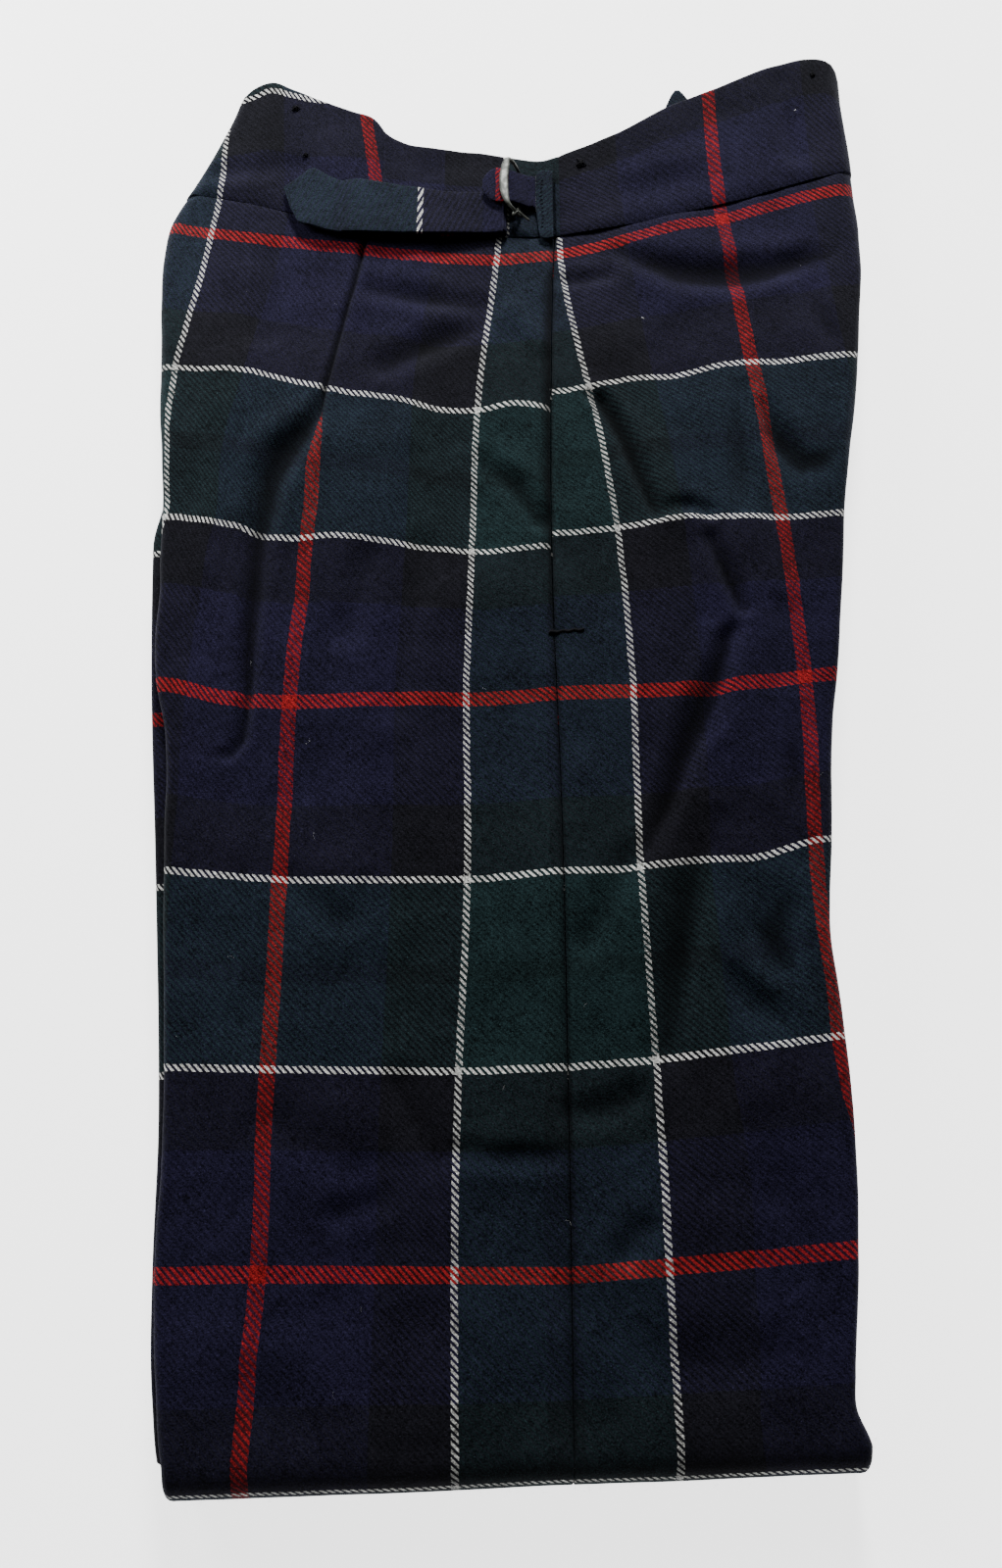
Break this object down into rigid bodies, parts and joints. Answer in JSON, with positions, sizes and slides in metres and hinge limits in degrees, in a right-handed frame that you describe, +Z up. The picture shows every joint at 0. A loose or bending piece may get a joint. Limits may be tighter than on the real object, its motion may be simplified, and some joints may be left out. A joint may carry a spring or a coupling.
{
  "type": "tartan trews",
  "caption": "Folded tartan trews in woollen twill with a waistband and a buckled side adjuster.",
  "frame": {"origin": "on the surface that it rests on, under the middle of the folded garment", "axes": "+Y from the fold at the knee towards the waist, +X towards the front crease, +Z up through the layers"},
  "size_m": [0.3438, 0.6654, 0.028],
  "materials": {
    "tartan_cloth": "napped woollen twill, dark tartan",
    "hidden_cloth": "napped woollen twill, dark tartan",
    "strap_cloth": "napped woollen twill, green and navy",
    "buckle_metal": "dull plated steel"
  },
  "bodies": {
    "root": {"back_leg_panel": "tartan_cloth", "front_leg_panel": "tartan_cloth", "back_waistband": "tartan_cloth", "back_waistband_side": "tartan_cloth", "front_waistband": "tartan_cloth", "far_waistband": "tartan_cloth", "hidden_layers": "hidden_cloth", "adjuster_strap": "strap_cloth", "buckle_tab": "strap_cloth", "buckle_frame": "buckle_metal", "buckle_prong": "buckle_metal"}
  },
  "joints": []
}
